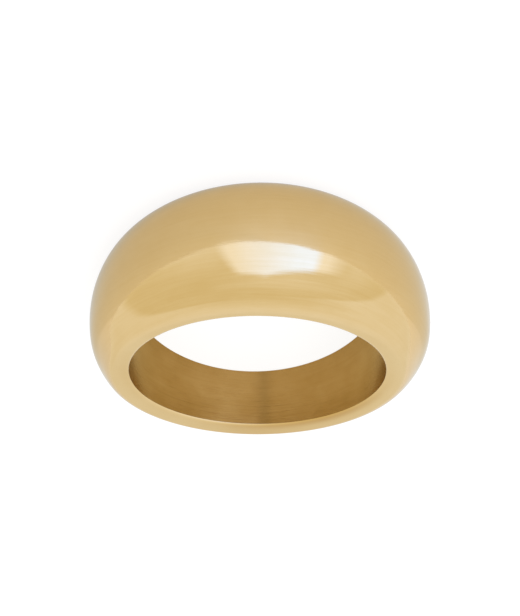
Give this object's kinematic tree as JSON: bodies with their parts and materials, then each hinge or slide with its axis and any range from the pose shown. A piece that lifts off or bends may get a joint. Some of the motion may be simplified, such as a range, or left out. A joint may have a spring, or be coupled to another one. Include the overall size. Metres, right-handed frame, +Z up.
{
  "type": "dome ring",
  "caption": "Plain finger ring in gold-coloured steel: a smooth domed band, broad and thick on top, narrowing evenly to a slim flat-sided shank.",
  "frame": {"origin": "on the surface that the ring lies on, under the middle of its bounding box", "axes": "+Z up, square to the side wall that the ring lies on, -Y towards the top of the dome, +X to the right of someone who faces the dome. The finger hole leans 8.45 degrees back from +Z, because the side walls are the sides of a wedge."},
  "size_m": [0.023, 0.0236, 0.0098],
  "materials": {
    "gold_coloured_steel": "gold-coloured plating on steel, polished to a soft mirror, with fine polishing lines that run round the band outside and inside"
  },
  "bodies": {
    "root": {"band": "gold_coloured_steel"}
  },
  "joints": []
}
